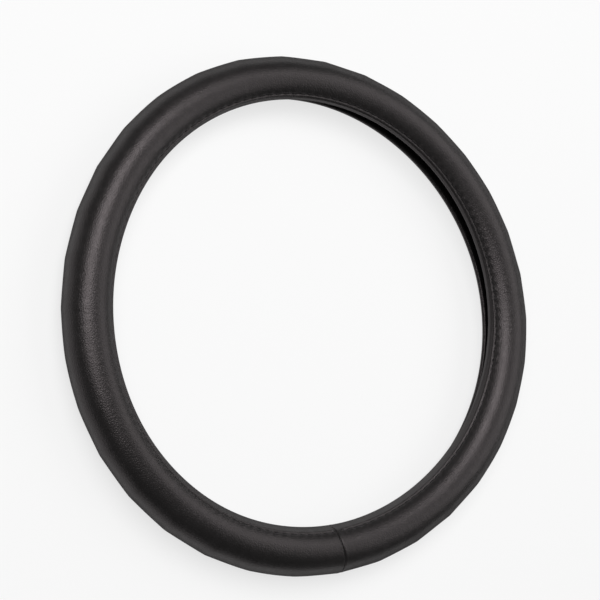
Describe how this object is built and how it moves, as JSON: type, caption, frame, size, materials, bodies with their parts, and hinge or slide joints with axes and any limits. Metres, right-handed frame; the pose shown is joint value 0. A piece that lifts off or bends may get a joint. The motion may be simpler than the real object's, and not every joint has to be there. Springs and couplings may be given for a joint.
{
  "type": "steering wheel cover",
  "caption": "Slip-on steering wheel cover: a ring of dark leather with a C-shaped section, turned and stitched edges, a sewn joint at the bottom and a ribbed rubber liner.",
  "frame": {"origin": "centre of the ring, on the surface that the cover lies on", "axes": "+Z along the ring's axis, out of the front side that faces the driver; +Y to twelve o'clock, with the sewn joint at six o'clock; +X to three o'clock"},
  "size_m": [0.3888, 0.3895, 0.0357],
  "materials": {
    "leather": "fine-grained, soft sheen",
    "rubber": "matte",
    "thread": "waxed polyester thread"
  },
  "bodies": {
    "root": {"leather_cover": "leather", "rubber_ring": "rubber", "front_edge_stitching": "thread", "rear_edge_stitching": "thread", "joint_stitching": "thread"}
  },
  "joints": []
}
